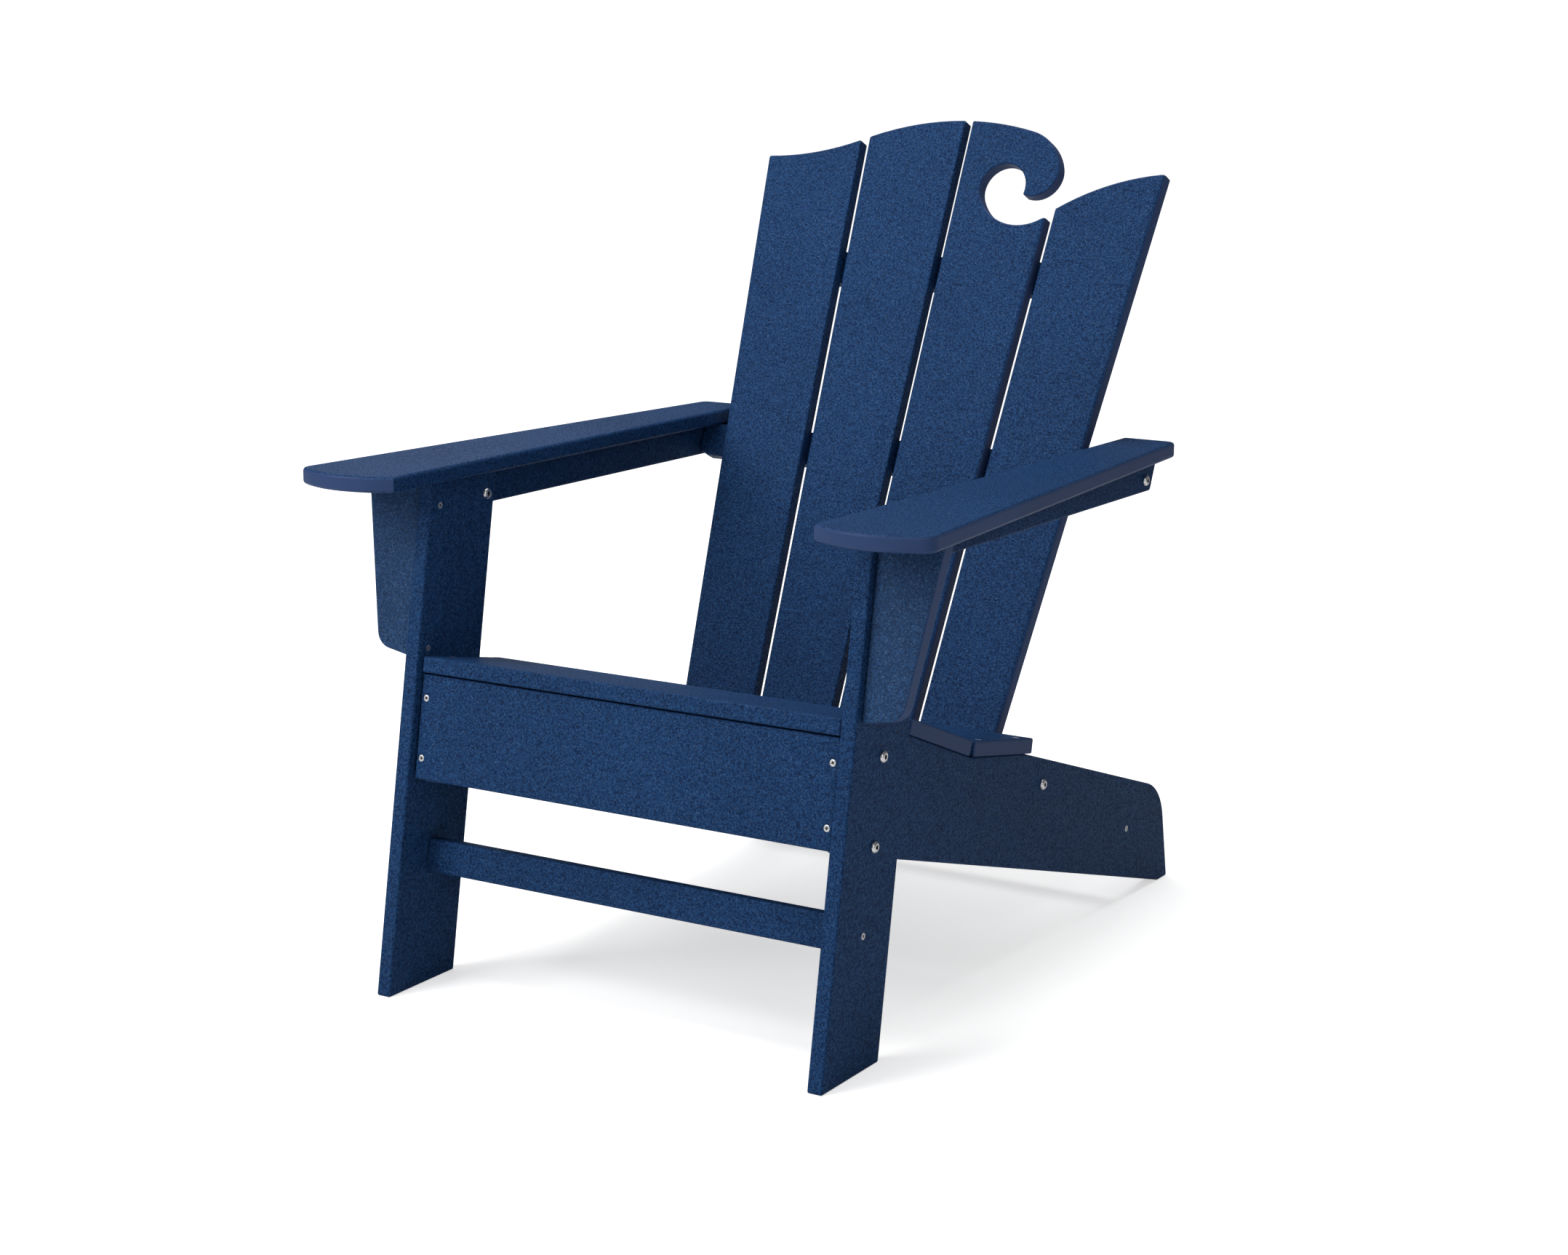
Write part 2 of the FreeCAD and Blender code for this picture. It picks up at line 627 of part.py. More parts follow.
pair("leg", leg())
pair("side_rail", side_rail())
pieces["apron"] = apron()
pieces["front_stretcher"] = front_stretcher()
pieces["rear_stretcher"] = rear_stretcher()
for number in range(3):
    pieces["seat_board_%d" % (number + 1)] = seat_board(number)
pieces["back_bar_lower"] = brace(LOW_BAR, RAIL_IN - FIT, BAR, None)
pieces["back_brace_middle"] = brace(MIDDLE_BRACE, MIDDLE_BRACE_HALF, BOARD, MIDDLE_BRACE_CHAMFER)
pieces["back_brace_upper"] = brace(UPPER_BRACE, UPPER_BRACE_HALF, BOARD, None)
for number in range(4):
    pieces["back_slat_%d" % (number + 1)] = back_slat(number)
pair("arm", arm())
pair("arm_rail", arm_rail())
pair("arm_bracket", arm_bracket())
pair("back_cleat", back_cleat())

SIDE = V(1, 0, 0)
fasten("leg_bolts", bolt(2 * BOARD + WASHER_THICK + NUT_TALL + THREAD_SHOWING),
       [V(LEG_OUT, y, z) for y, z in LEG_BOLTS], SIDE, both("leg") + both("side_rail"))
pieces["leg_washers"] = []
pieces["leg_nuts"] = []
for y, z in LEG_BOLTS:
    for hand in (1, -1):
        inward = V(hand, 0, 0)
        pieces["leg_washers"].append(placed(washer(), V(hand * RAIL_IN, y, z), inward))
        seat = V(hand * (RAIL_IN - WASHER_THICK), y, z)
        pieces["leg_nuts"].append(placed(nut(), seat, inward))
fasten("back_bar_bolts", bolt(BACK_BAR_BOLT_LONG), [V(LEG_IN, *BACK_BAR_BOLT)], SIDE,
       both("side_rail") + ["back_bar_lower"])
fasten("arm_rail_front_bolts", bolt(ARM_RAIL_FRONT_BOLT_LONG),
       [V(LEG_IN, *ARM_RAIL_FRONT_BOLT)], V(-1, 0, 0), both("leg") + both("arm_rail"))
fasten("arm_rail_rear_bolts", bolt(ARM_RAIL_REAR_BOLT_LONG),
       [V(LEG_OUT + BOARD, *ARM_RAIL_REAR_BOLT)], SIDE, both("arm_rail") + both("back_cleat"))

lean = radians(LEG_LEAN)
fasten("apron_screws", screw(APRON_SCREW),
       [leg_point(APRON_SCREW_X, up, APRON_SET) for up in APRON_SCREW_UPS],
       V(0, -cos(lean), sin(lean)), ["apron"] + both("side_rail"))
fasten("stretcher_screws", screw(LONG_SCREW), [V(LEG_OUT, *STRETCHER_SCREW)], SIDE,
       both("leg") + ["front_stretcher"])
fasten("rear_stretcher_screws", screw(LONG_SCREW), [V(LEG_IN, *REAR_STRETCHER)], SIDE,
       both("side_rail") + ["rear_stretcher"])
fasten("bracket_screws", screw(BOARD_SCREW),
       [leg_point(LEG_IN, up, BRACKET_SET + BOARD / 2) for up in BRACKET_SCREW_UPS],
       V(-1, 0, 0), both("leg") + both("arm_bracket"))

for number, shares in enumerate(SEAT_SCREW_SHARES):
    start, end = SEAT_KNEES[number], SEAT_KNEES[number + 1]
    along = unit(start, end)
    seats = [V(LEG_IN - BOARD / 2, start[0] + t * (end[0] - start[0]),
               start[1] + t * (end[1] - start[1])) for t in shares]
    fasten("seat_screws", screw(BOARD_SCREW), seats, V(0, -along[1], along[0]),
           ["seat_board_%d" % (number + 1)] + both("side_rail"))

tilt = radians(BACK_LEAN)
behind = V(0, cos(tilt), -sin(tilt))
for board, span, thickness in (("back_bar_lower", LOW_BAR, BAR),
                               ("back_brace_middle", MIDDLE_BRACE, BOARD),
                               ("back_brace_upper", UPPER_BRACE, BOARD)):
    up = (span[0] + span[1]) / 2
    for slat in (2, 3):
        sides = [side_at(side, up) for side in slat_sides(slat)]
        outer_inset = SLAT_SCREW_INSET if slat == 2 else SLAT_SCREW_OUTER_INSET
        places = [sides[0] + SLAT_SCREW_INSET, sides[1] - outer_inset]
        fasten("slat_screws", screw(thickness + SLAT_SCREW_BITE),
               [back_point(x, up, SLAT + thickness) for x in places], behind,
               [board, "back_slat_%d" % (slat + 1), "back_slat_%d" % (4 - slat)])

fasten("arm_screws", screw(ARM_RAIL_TALL + ARM_SCREW_BITE),
       [V(LEG_OUT + BOARD / 2, y, arm_under(y) - ARM_RAIL_TALL) for y in ARM_SCREW_YS],
       V(0, 0, -1), both("arm_rail") + both("arm"))
cleat_screw_z = cleat_corner(0).z + CLEAT_SCREW_UP
cleat_screw_y = CLEAT_REAR + tan(tilt) * CLEAT_SCREW_UP
fasten("cleat_screws", screw(CLEAT_SCREW),
       [V(LEG_IN - CLEAT_SCREW_IN, cleat_screw_y, cleat_screw_z)],
       behind, both("back_cleat") + ["back_brace_middle"])


# ---- into the chair's own frame, and out ----------------------------------------------------
def put_in_frame(shapes):
    """Move every piece so the origin is the middle of the footprint, on the floor."""
    whole = Part.makeCompound(list(shapes.values())).optimalBoundingBox(False, False)
    shift = V(-(whole.XMin + whole.XMax) / 2, -(whole.YMin + whole.YMax) / 2, -whole.ZMin)
    for shape in shapes.values():
        shape.translate(shift)
    print("whole chair: %.1f wide, %.1f deep, %.1f tall; moved %.2f back"
          % (whole.XLength, whole.YLength, whole.ZLength, shift.y))


for name, piece in pieces.items():
    if isinstance(piece, list):
        pieces[name] = Part.makeCompound(piece)
put_in_frame(pieces)
os.makedirs("parts", exist_ok=True)
for name, piece in pieces.items():
    if not piece.isValid() or not piece.Solids:
        raise ValueError(name + " is not a valid solid")
    if len(piece.Solids) == 1:
        piece = piece.Solids[0]
    piece.exportStep("parts/" + name + ".step")
    print(name, len(piece.Solids), "solid(s)", round(piece.Volume / 1000.0, 1), "cm3")
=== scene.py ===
# %% [markdown]
# # A wave-backed garden chair of plastic lumber
# The chair's boards, their rounded edges and their bored holes come from the CAD model, which is
# loaded as a fixed frame.  What this lesson adds is what CAD leaves out: the pebbled skin of the
# lumber, the smoother surface that a saw and a router leave on its cut edges, turned stainless
# bolts and cross-head screws, a camera, and soft studio light.  Everything is in metres, the
# sitter looks along -Y, and +Z is up.

# %% Load the frame
import math

import bpy
import numpy as np
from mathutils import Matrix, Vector


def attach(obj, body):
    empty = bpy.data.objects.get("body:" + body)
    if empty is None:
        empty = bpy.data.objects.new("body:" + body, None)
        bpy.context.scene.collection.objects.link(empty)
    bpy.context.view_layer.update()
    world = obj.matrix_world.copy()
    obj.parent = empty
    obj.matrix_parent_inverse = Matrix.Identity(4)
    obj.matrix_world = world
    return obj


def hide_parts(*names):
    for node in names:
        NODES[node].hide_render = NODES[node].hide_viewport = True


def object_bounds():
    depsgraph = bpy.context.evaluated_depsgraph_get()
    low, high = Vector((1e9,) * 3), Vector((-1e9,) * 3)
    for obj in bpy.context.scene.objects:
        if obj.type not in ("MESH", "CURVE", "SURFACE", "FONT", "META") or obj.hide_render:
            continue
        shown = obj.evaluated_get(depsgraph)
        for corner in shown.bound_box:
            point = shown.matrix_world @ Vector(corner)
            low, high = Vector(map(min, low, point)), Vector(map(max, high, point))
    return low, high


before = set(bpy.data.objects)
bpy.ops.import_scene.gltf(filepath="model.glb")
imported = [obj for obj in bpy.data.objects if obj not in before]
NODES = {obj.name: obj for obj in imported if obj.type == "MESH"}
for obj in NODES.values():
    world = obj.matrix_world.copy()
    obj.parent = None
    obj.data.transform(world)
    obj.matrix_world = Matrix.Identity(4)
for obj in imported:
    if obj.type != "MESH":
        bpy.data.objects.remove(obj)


def plain(box):
    """A box as plain lists of numbers."""
    return [[float(value) for value in corner] for corner in box]


CAD_BOX = plain(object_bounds())
LOW, HIGH = np.array(CAD_BOX[0]), np.array(CAD_BOX[1])
WIDE, DEEP, TALL = HIGH - LOW
print(f"{len(NODES)} nodes, {WIDE:.3f} m wide, {DEEP:.3f} m deep, {TALL:.3f} m tall")

# %% [markdown]
# ## Camera
# A chair is usually shown from standing height, turned a third of the way to its side, through
# a long lens that keeps the arms from splaying.  The camera could be aimed with a constraint,
# but two angles and a place are easier to read and never move by themselves.

# %% Set up the camera
CAMERA_PLACE = (1.8135, -2.9749, 1.1579)
CAMERA_TURN = math.radians(31.762)
CAMERA_DIP = math.radians(12.389)
CAMERA_LENS = 66.65

camera_data = bpy.data.cameras.new("camera")
camera_data.sensor_width = 36.0
camera_data.lens = CAMERA_LENS
camera = bpy.data.objects.new("camera", camera_data)
camera.location = CAMERA_PLACE
camera.rotation_euler = (math.pi / 2 - CAMERA_DIP, 0.0, CAMERA_TURN)
bpy.context.scene.collection.objects.link(camera)
bpy.context.scene.camera = camera
bpy.context.scene.view_settings.view_transform = "Standard"
print("camera is", round(math.dist(CAMERA_PLACE, (0, 0, TALL / 2)), 2), "m from the chair")

# %% [markdown]
# ## Floor and light
# The floor is one plain pale sheet.  Dark blue plastic mirrors its surroundings, so a bright tent
# all round it would turn it milky.  The world is therefore white only where it is looked at, and
# dim where it lights; broad area lamps give the boards their form.  The floor also glows for the
# camera alone: painted light that pales it and the chair's shadow on it, and grows with distance,
# so that it runs into the white without an edge and still lights nothing.

# %% Helpers for shader trees
def nodes_of(owner):
    """Start a node tree from nothing and return a function that adds a node by type."""
    tree = owner.node_tree if hasattr(owner, "node_tree") else owner
    tree.nodes.clear()

    def add(kind, **settings):
        node = tree.nodes.new(kind)
        inputs = settings.pop("inputs", {})
        for key, value in settings.items():
            setattr(node, key, value)
        for key, value in inputs.items():
            if isinstance(value, bpy.types.NodeSocket):
                tree.links.new(value, node.inputs[key])
            else:
                node.inputs[key].default_value = value
        return node

    return add


def sum_of(add, operation, *values):
    """One Math node on plain numbers or sockets."""
    return add("ShaderNodeMath", operation=operation, inputs=dict(enumerate(values))).outputs[0]


def remap(add, value, low, high, to_low=0.0, to_high=1.0):
    """A smooth ramp of a value from one range to another."""
    ramp = add("ShaderNodeMapRange", interpolation_type="SMOOTHSTEP")
    ramp.id_data.links.new(value, ramp.inputs["Value"])
    for key, number in (("From Min", low), ("From Max", high),
                        ("To Min", to_low), ("To Max", to_high)):
        ramp.inputs[key].default_value = number
    return ramp.outputs["Result"]


def mix_colour(add, factor, first, second):
    """Blend two colours; each may be a socket or four numbers."""
    return add("ShaderNodeMix", data_type="RGBA",
               inputs={0: factor, 6: first, 7: second}).outputs[2]


def new_group(name, inputs, outputs):
    """A shader node group with named sockets: (name, kind, start value) and (name, kind)."""
    group = bpy.data.node_groups.new(name, "ShaderNodeTree")
    for label, kind, start in inputs:
        socket = group.interface.new_socket(label, in_out="INPUT", socket_type="NodeSocket" + kind)
        socket.default_value = start
    for label, kind in outputs:
        group.interface.new_socket(label, in_out="OUTPUT", socket_type="NodeSocket" + kind)
    add = nodes_of(group)
    return group, add, add("NodeGroupInput").outputs, add("NodeGroupOutput").inputs


print("shader helpers ready")

# %% Make the floor
FLOOR_REACH = 9.0
FLOOR_COLOURS = (0.86, 0.86, 0.86, 1.0), (0.87, 0.87, 0.87, 1.0)     # barely mottled
FLOOR_MOTTLE = 3.0
# painted light for the camera only: it pales the floor and the chair's shadow under the chair, and
# fades the far floor into white
FLOOR_GLOW = (0.56, 1.0)      # under the chair, and far from it
GLOW_REACH = (0.9, 4.5)


corners = np.array([(-1, -1, 0), (1, -1, 0), (1, 1, 0), (-1, 1, 0)]) * FLOOR_REACH
floor_mesh = bpy.data.meshes.new("studio_floor")
floor_mesh.from_pydata(corners.tolist(), [], [(0, 1, 2, 3)])
floor = bpy.data.objects.new("studio_floor", floor_mesh)
bpy.context.scene.collection.objects.link(floor)

floor_paint = bpy.data.materials.new("studio_floor")
floor_paint.use_nodes = True
add = nodes_of(floor_paint)
place = add("ShaderNodeTexCoord").outputs["Object"]
mottle = add("ShaderNodeTexNoise",
             inputs={"Vector": place, "Scale": FLOOR_MOTTLE}).outputs["Fac"]
far = add("ShaderNodeVectorMath", operation="LENGTH", inputs={0: place}).outputs["Value"]
glow = sum_of(add, "MULTIPLY", remap(add, far, *GLOW_REACH, *FLOOR_GLOW),
              add("ShaderNodeLightPath").outputs["Is Camera Ray"])
floor_shader = add("ShaderNodeBsdfPrincipled", inputs={
    "Base Color": mix_colour(add, remap(add, mottle, 0.3, 0.7), *FLOOR_COLOURS),
    "Roughness": 0.7, "Specular IOR Level": 0.1, "Emission Color": (1.0, 1.0, 1.0, 1.0),
    "Emission Strength": glow})
add("ShaderNodeOutputMaterial", inputs={"Surface": floor_shader.outputs[0]})
floor.data.materials.append(floor_paint)
print("floor is", 2 * FLOOR_REACH, "m across")

# %% Set the lights
WORLD_STRENGTH = 0.17
WORLD_SEEN = 1.05
AIM = Vector((0.0, 0.0, 0.45))
LAMPS = {
    # name: (place, size, power in watts)
    "key": ((-2.2, -3.4, 2.8), 2.6, 145.0),
    "overhead": ((-0.3, 0.0, 3.4), 3.0, 95.0),
    "fill": ((3.2, -2.4, 1.8), 2.0, 24.0),
    "back": ((-3.4, 3.0, 1.8), 1.8, 7.0),
}

world = bpy.data.worlds.new("studio")
bpy.context.scene.world = world
world.use_nodes = True
add = nodes_of(world)
looked_at = add("ShaderNodeLightPath").outputs["Is Camera Ray"]
strength = sum_of(add, "MULTIPLY_ADD", looked_at, WORLD_SEEN - WORLD_STRENGTH, WORLD_STRENGTH)
background = add("ShaderNodeBackground",
                 inputs={"Color": (1.0, 1.0, 1.0, 1.0), "Strength": strength})
add("ShaderNodeOutputWorld", inputs={"Surface": background.outputs[0]})

for name, (spot, size, power) in LAMPS.items():
    lamp_data = bpy.data.lights.new(name, "AREA")
    lamp_data.shape = "SQUARE"
    lamp_data.size = size
    lamp_data.energy = power
    lamp = bpy.data.objects.new(name, lamp_data)
    lamp.location = spot
    lamp.rotation_euler = (AIM - Vector(spot)).to_track_quat("-Z", "Y").to_euler()
    bpy.context.scene.collection.objects.link(lamp)
print(len(LAMPS), "lamps and a white world")

# %% [markdown]
# ## The skin of the lumber
# Plastic lumber is extruded with an embossed, pebbled skin.  Close to, it is a field of soft
# bumps two to three millimetres across, with painted shade darkening the pits and scattered
# painted glints where a bump would catch the light.  A texture image would repeat and stretch
# round corners, so the skin is worked out from solid noise at each point of the board: a coarse
# noise for the pebbles, a fine one for grit, a cell pattern for the painted glints, and a broad
# one for the slight drift of colour along a board.

# %% Node group: pebbled skin
PEBBLE = 430.0      # pebbles per metre
GRIT = 1150.0
GLINT = 620.0
GLINT_CHANCE = 0.74     # cells whose random number is above this carry a painted glint
GLINT_EDGE = (0.42, 0.10)       # a painted glint fades in from the edge of its cell to its middle
GRIT_SHARE = 0.35       # height of the grit against that of the pebbles
DRIFT = 5.0

skin, add, given, result = new_group(
    "pebbled_skin",
    [("Vector", "Vector", (0, 0, 0)), ("Flecks", "Float", 0.5)],
    [("Height", "Float"), ("Tone", "Float"), ("Fleck", "Float"), ("Drift", "Float")])
pebbles = add("ShaderNodeTexNoise", inputs={
    "Vector": given["Vector"], "Scale": PEBBLE, "Detail": 2.0, "Roughness": 0.55}).outputs["Fac"]
grit = add("ShaderNodeTexNoise", inputs={
    "Vector": given["Vector"], "Scale": GRIT, "Detail": 1.0}).outputs["Fac"]
height = sum_of(add, "MULTIPLY_ADD", grit, GRIT_SHARE, pebbles)
cells = add("ShaderNodeTexVoronoi", inputs={
    "Vector": given["Vector"], "Scale": GLINT, "Randomness": 1.0})
chosen = add("ShaderNodeSeparateColor", inputs={"Color": cells.outputs["Color"]}).outputs["Red"]
few = sum_of(add, "GREATER_THAN", chosen, GLINT_CHANCE)
core = remap(add, cells.outputs["Distance"], *GLINT_EDGE)
glint = sum_of(add, "MULTIPLY", few, core)
drift = add("ShaderNodeTexNoise", inputs={
    "Vector": given["Vector"], "Scale": DRIFT, "Detail": 2.0}).outputs["Fac"]
links = skin.links
links.new(height, result["Height"])
# the tone is low where the pebbles are low and becomes painted shade in the pits; the chosen cells
# become painted glints
links.new(remap(add, pebbles, 0.25, 0.75), result["Tone"])
links.new(sum_of(add, "MULTIPLY", glint, given["Flecks"]), result["Fleck"])
links.new(drift, result["Drift"])
print("pebbled_skin has", len(skin.nodes), "nodes")

# %% [markdown]
# ## Where the saw has been
# A board keeps its skin on its faces and on its two factory edges.  Wherever it has been sawn or
# routed the plastic is bare: smoother, a little paler and more violet, with faint lines along
# the cut.  The boards carry no colour map, but a surface's own direction tells the two apart: a
# point belongs to a face if its normal lies along the board's thickness.  The group below
# compares the normal with the board's thickness and with its length, and for boards that were
# cut to a shape on their outer side it leaves the edge that looks inwards with its skin.

# %% Node group: bare cut edges
# each pair says where a mask starts and where it is full; 1 is straight along, 0 straight across
END_GRAIN = (0.55, 0.85)        # normal along the board's length
OFF_FACE = (0.80, 0.45)         # normal turning away from the board's thickness
FACING_IN = (-0.50, -0.85)      # normal towards the middle of the chair
ARRIS_START = (0.15, 0.45)      # the rounded edge, between the side
ARRIS_END = (0.97, 0.85)        # and the face
SAW_LINES = 900.0       # lines per metre across the cut
SAW_STRETCH = 0.06      # how much slower they change along it

cut, add, given, result = new_group(
    "bare_cut_edges",
    [("Vector", "Vector", (0, 0, 0)), ("Thickness", "Vector", (0, 0, 1)),
     ("Length", "Vector", (1, 0, 0)), ("All Round", "Float", 0.0), ("Keep Inner", "Float", 0.0)],
    [("Bare", "Float"), ("Arris", "Float"), ("Lines", "Float")])
normal = add("ShaderNodeNewGeometry").outputs["Normal"]


def along(direction):
    """How far the normal lies along a direction, either way: 0 across, 1 along."""
    dot = add("ShaderNodeVectorMath", operation="DOT_PRODUCT", inputs={0: normal, 1: direction})
    return sum_of(add, "ABSOLUTE", dot.outputs["Value"])


on_end = remap(add, along(given["Length"]), *END_GRAIN)
off_face = remap(add, along(given["Thickness"]), *OFF_FACE)
hand = sum_of(add, "SIGN", add("ShaderNodeSeparateXYZ", inputs={
    "Vector": given["Vector"]}).outputs["X"])
sideways = add("ShaderNodeSeparateXYZ", inputs={"Vector": normal}).outputs["X"]
outwards = sum_of(add, "MULTIPLY", hand, sideways)
inner = sum_of(add, "MULTIPLY", remap(add, outwards, *FACING_IN), given["Keep Inner"])
shaped = sum_of(add, "MULTIPLY", off_face, sum_of(add, "SUBTRACT", 1.0, inner))
shaped = sum_of(add, "MULTIPLY", shaped, given["All Round"])
bare = sum_of(add, "MAXIMUM", on_end, shaped)
arris = remap(add, along(given["Thickness"]), *ARRIS_START)
arris = sum_of(add, "MULTIPLY", arris, remap(add, along(given["Thickness"]), *ARRIS_END))
stretched = add("ShaderNodeMapping", inputs={
    "Vector": given["Vector"], "Scale": (1.0, SAW_STRETCH, SAW_STRETCH)}).outputs["Vector"]
lines = add("ShaderNodeTexNoise", inputs={
    "Vector": stretched, "Scale": SAW_LINES, "Detail": 2.0}).outputs["Fac"]
links = cut.links
links.new(bare, result["Bare"])
links.new(arris, result["Arris"])
links.new(lines, result["Lines"])
print("bare_cut_edges has", len(cut.nodes), "nodes")

# %% [markdown]
# ## Lumber materials
# Each kind of board gets its own material, because its thickness points another way and it was
# cut in another way.  All of them place the same two groups and mix the same four colours: the
# skin, the painted shade of its pits, its painted glints, and the bare plastic.  The brackets'
# material also has painted light mixed in, so that it looks as lit as they do.  The bump works in
# real lengths, so its distance is the height of a pebble.  The sheen is kept low, as on real
# pebbled plastic, where the bumps scatter what a flat face would mirror.

# %% Lumber material
# the second colour below is painted shade in the hollows of the pebbles, and the third a painted
# glint where a pebble would catch the light
SKIN_COLOUR = (0.0138, 0.0550, 0.1560, 1.0)
PIT_SHADE_COLOUR = (0.0020, 0.0110, 0.0420, 1.0)
GLINT_COLOUR = (0.1300, 0.2100, 0.3200, 1.0)
BARE_COLOUR = (0.0290, 0.0530, 0.1330, 1.0)
SKIN_ROUGH = (0.46, 0.60)
BARE_ROUGH = 0.40
PEBBLE_HEIGHT = 0.00095
PEBBLE_RELIEF = 0.90    # how strongly the pebbles bend the light
LINE_RELIEF = 0.12      # height of the saw's lines against that of the pebbles
ARRIS_POLISH = 0.05     # how much smoother a rounded edge is rubbed
DRIFT_SHADE = (0.93, 1.07)
SHEEN = 0.06


def place_group(add, group, **values):
    """Put a node group into a material, with values or sockets for its inputs."""
    return add("ShaderNodeGroup", node_tree=group,
               inputs={key.replace("_", " "): value for key, value in values.items()}).outputs


def lumber(name, thickness, length, all_round=0.0, keep_inner=0.0, glints=0.5, painted_light=0.0):
    """Pebbled blue lumber for boards of one thickness direction and one length direction, with
    painted shade in its pits.  The next to last argument is how bright the painted glints are,
    and the last paints light evenly into the skin by mixing in their colour."""
    material = bpy.data.materials.new(name)
    material.use_nodes = True
    add = nodes_of(material)
    spot = add("ShaderNodeTexCoord").outputs["Object"]
    grain = place_group(add, skin, Vector=spot, Flecks=glints)
    saw = place_group(add, cut, Vector=spot, Thickness=thickness, Length=length,
                      All_Round=all_round, Keep_Inner=keep_inner)
    # painted shade darkens the pits, painted glints lighten scattered cells, and the third mix
    # paints light evenly over the whole board
    skin_colour = mix_colour(add, grain["Tone"], PIT_SHADE_COLOUR, SKIN_COLOUR)
    skin_colour = mix_colour(add, grain["Fleck"], skin_colour, GLINT_COLOUR)
    skin_colour = mix_colour(add, painted_light, skin_colour, GLINT_COLOUR)
    colour = mix_colour(add, saw["Bare"], skin_colour, BARE_COLOUR)
    shade = remap(add, grain["Drift"], 0.3, 0.7, *DRIFT_SHADE)
    drifted = add("ShaderNodeVectorMath", operation="SCALE", inputs={0: colour, "Scale": shade})
    rough = remap(add, grain["Tone"], 0.0, 1.0, SKIN_ROUGH[1], SKIN_ROUGH[0])
    rough = add("ShaderNodeMix", inputs={0: saw["Bare"], 2: rough, 3: BARE_ROUGH}).outputs[0]
    rough = sum_of(add, "MULTIPLY_ADD", saw["Arris"], -ARRIS_POLISH, rough)
    faint = sum_of(add, "MULTIPLY", saw["Lines"], LINE_RELIEF)
    height = add("ShaderNodeMix", inputs={
        0: saw["Bare"], 2: grain["Height"], 3: faint}).outputs[0]
    bump = add("ShaderNodeBump", inputs={
        "Height": height, "Strength": PEBBLE_RELIEF, "Distance": PEBBLE_HEIGHT}).outputs[0]
    shader = add("ShaderNodeBsdfPrincipled", inputs={
        "Base Color": drifted.outputs[0], "Roughness": rough, "Normal": bump, "IOR": 1.50,
        "Specular IOR Level": SHEEN})
    add("ShaderNodeOutputMaterial", inputs={"Surface": shader.outputs[0]})
    return material


def tilted(degrees):
    """The normal of a board that leans back by this many degrees from upright."""
    return (0.0, -math.cos(math.radians(degrees)), math.sin(math.radians(degrees)))


BACK_LEAN = 25.09
LEG_LEAN = 10.05
ACROSS = (1.0, 0.0, 0.0)
UPRIGHT = (0.0, 0.0, 1.0)
FORE_AFT = (0.0, 1.0, 0.0)

LUMBER = {
    # kind of board: its material and the nodes cut from it
    "slat": (lumber("slat_lumber", tilted(BACK_LEAN), UPRIGHT, all_round=1.0, keep_inner=1.0),
             [f"back_slat_{number}" for number in (1, 2, 3, 4)]),
    "arm": (lumber("arm_lumber", UPRIGHT, FORE_AFT, all_round=1.0, keep_inner=1.0),
            ["arm_left", "arm_right"]),
    # the brackets' lumber is a lit copy: painted light makes its skin paler and its painted glints
    # brighter than on the other boards
    "bracket": (lumber("bracket_lumber", tilted(LEG_LEAN), ACROSS, all_round=1.0,
                       glints=0.9, painted_light=0.07),
                ["arm_bracket_left", "arm_bracket_right"]),
    "leg": (lumber("leg_lumber", ACROSS, UPRIGHT), ["leg_left", "leg_right"]),
    "side_rail": (lumber("side_rail_lumber", ACROSS, FORE_AFT, all_round=1.0),
                  ["side_rail_left", "side_rail_right"]),
    "arm_rail": (lumber("arm_rail_lumber", ACROSS, FORE_AFT),
                 ["arm_rail_left", "arm_rail_right", "back_cleat_left", "back_cleat_right"]),
    "seat": (lumber("seat_lumber", UPRIGHT, ACROSS),
             ["seat_board_1", "seat_board_2", "seat_board_3"]),
    "cross": (lumber("cross_lumber", FORE_AFT, ACROSS),
              ["apron", "front_stretcher", "rear_stretcher", "back_bar_lower",
               "back_brace_middle", "back_brace_upper"]),
}
for kind, (material, members) in LUMBER.items():
    for member in members:
        NODES[member].data.materials.clear()
        NODES[member].data.materials.append(material)
    print(kind, "lumber on", len(members), "boards")

# %% [markdown]
# ## Stainless fasteners
# The chair is held by button-head bolts with hexagon sockets and by countersunk cross-head
# screws.  A boolean cut would make such a socket, but leaves long thin faces.  A better way is
# one sheet wrapped round the fastener: rings that start at the bottom of the recess, climb its
# wall, cross the head and run down the shank to its tip.  Only the rings of the recess are not
# round: their radius depends on the angle, as a hexagon's or a cross's outline does.

# %% Outlines of the recesses
TURNS = 48
ANGLE = np.linspace(0.0, 2 * np.pi, TURNS, endpoint=False)


def hexagon_outline(across):
    """Radius of a hexagon at each angle: half its width over the cosine from the nearest flat."""
    from_flat = (ANGLE % (np.pi / 3)) - np.pi / 6
    return across / 2 / np.cos(from_flat)


def cross_outline(length, width):
    """Radius of a plus sign at each angle: the nearer of an arm's end and an arm's side."""
    from_arm = (ANGLE + np.pi / 4) % (np.pi / 2) - np.pi / 4
    end = length / 2 / np.cos(from_arm)
    side = width / 2 / np.maximum(np.abs(np.sin(from_arm)), 1e-6)
    return np.minimum(end, side)


print("hexagon corners reach", round(float(hexagon_outline(1.0).max()), 3), "of its width")

# %% Wrap rings into a closed surface
BOLT_HEAD_TALL = 0.0044


